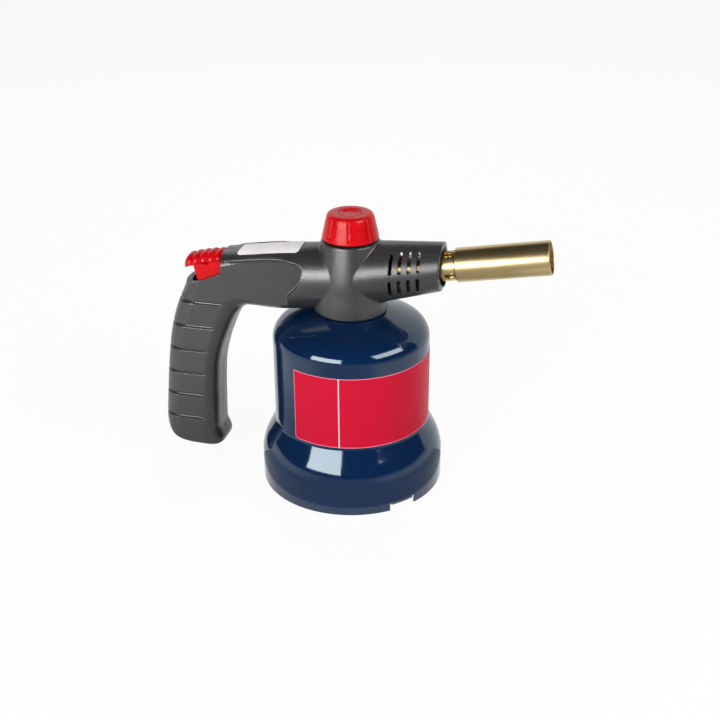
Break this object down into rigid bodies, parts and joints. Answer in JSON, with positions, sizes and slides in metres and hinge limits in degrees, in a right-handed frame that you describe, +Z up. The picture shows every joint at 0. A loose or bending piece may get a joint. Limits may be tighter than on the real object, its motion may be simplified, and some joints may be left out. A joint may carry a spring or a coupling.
{
  "type": "gas torch",
  "caption": "Hand-held gas torch: cartridge in a steel bell, pistol-style handle, valve knob, thumb lever with piezo igniter, brass flame tube.",
  "frame": {"origin": "on the surface that the bell's rim stands on, midway between the back of the handle and the mouth of the flame tube; the bell's axis is at x = +1.88 mm", "axes": "+X towards the flame tube's mouth, +Y to the torch's left side, +Z up along the bell's axis"},
  "size_m": [0.2408, 0.112, 0.1722],
  "materials": {
    "blue_enamel": "gloss paint",
    "dark_plastic": "fine-grained satin moulding",
    "red_plastic": "gloss",
    "polished_brass": "satin polished",
    "turned_brass": "turned",
    "steel": "bright drawn",
    "zinc_plate": "zinc plated",
    "rubber": "matt",
    "ceramic": "glazed",
    "can_enamel": "satin paint",
    "igniter_plastic": "matt",
    "lead_jacket": "matt sleeve"
  },
  "bodies": {
    "housing": {"bell_housing": "blue_enamel", "threaded_collar": "zinc_plate", "gas_cartridge": "can_enamel", "cartridge_gasket": "rubber", "retaining_wire": "steel"},
    "head": {"casing_left": "dark_plastic", "casing_right": "dark_plastic", "valve_body": "turned_brass", "piercing_needle": "steel", "gland_nut": "turned_brass", "spindle_seal": "rubber", "gas_tube": "turned_brass", "injector_jet": "turned_brass", "burner_throat": "polished_brass", "flame_holder": "turned_brass", "flame_tube": "polished_brass", "electrode_insulator": "ceramic", "spark_electrode": "steel", "ignition_lead": "lead_jacket", "piezo_body": "igniter_plastic", "igniter_spring": "steel", "lever_pin": "steel", "casing_screw_1": "zinc_plate", "casing_screw_2": "zinc_plate", "casing_screw_3": "zinc_plate", "casing_screw_4": "zinc_plate"},
    "knob": {"knob": "red_plastic", "knob_cap": "red_plastic", "knob_clip": "steel"},
    "spindle": {"valve_spindle": "steel"},
    "lever": {"thumb_lever": "red_plastic"},
    "plunger": {"piezo_plunger": "red_plastic"}
  },
  "joints": [
    {"name": "head_turn", "type": "hinge", "parent": "housing", "child": "head", "pos_m": [0.00188, 0, 0.111], "axis": [0, 0, 1], "range_deg": [0, 360]},
    {"name": "knob_turn", "type": "hinge", "parent": "head", "child": "knob", "pos_m": [0.00188, 0, 0.155], "axis": [0, 0, 1], "range_deg": [0, 450]},
    {"name": "spindle_lift", "type": "slide", "parent": "knob", "child": "spindle", "axis": [0, 0, 1], "range_m": [0, 0.000875]},
    {"name": "lever_press", "type": "hinge", "parent": "head", "child": "lever", "pos_m": [-0.07112, 0, 0.135], "axis": [0, -1, 0], "range_deg": [0, 12], "stiffness_Nm_per_rad": 1.2},
    {"name": "plunger_press", "type": "slide", "parent": "head", "child": "plunger", "axis": [0, 0, -1], "range_m": [0, 0.0044], "deforming": ["igniter_spring"]}
  ],
  "couplings": [
    {"joint": "spindle_lift", "follows": "knob_turn", "m_per_rad": 0.0001114},
    {"joint": "plunger_press", "follows": "lever_press", "m_per_rad": 0.021}
  ]
}
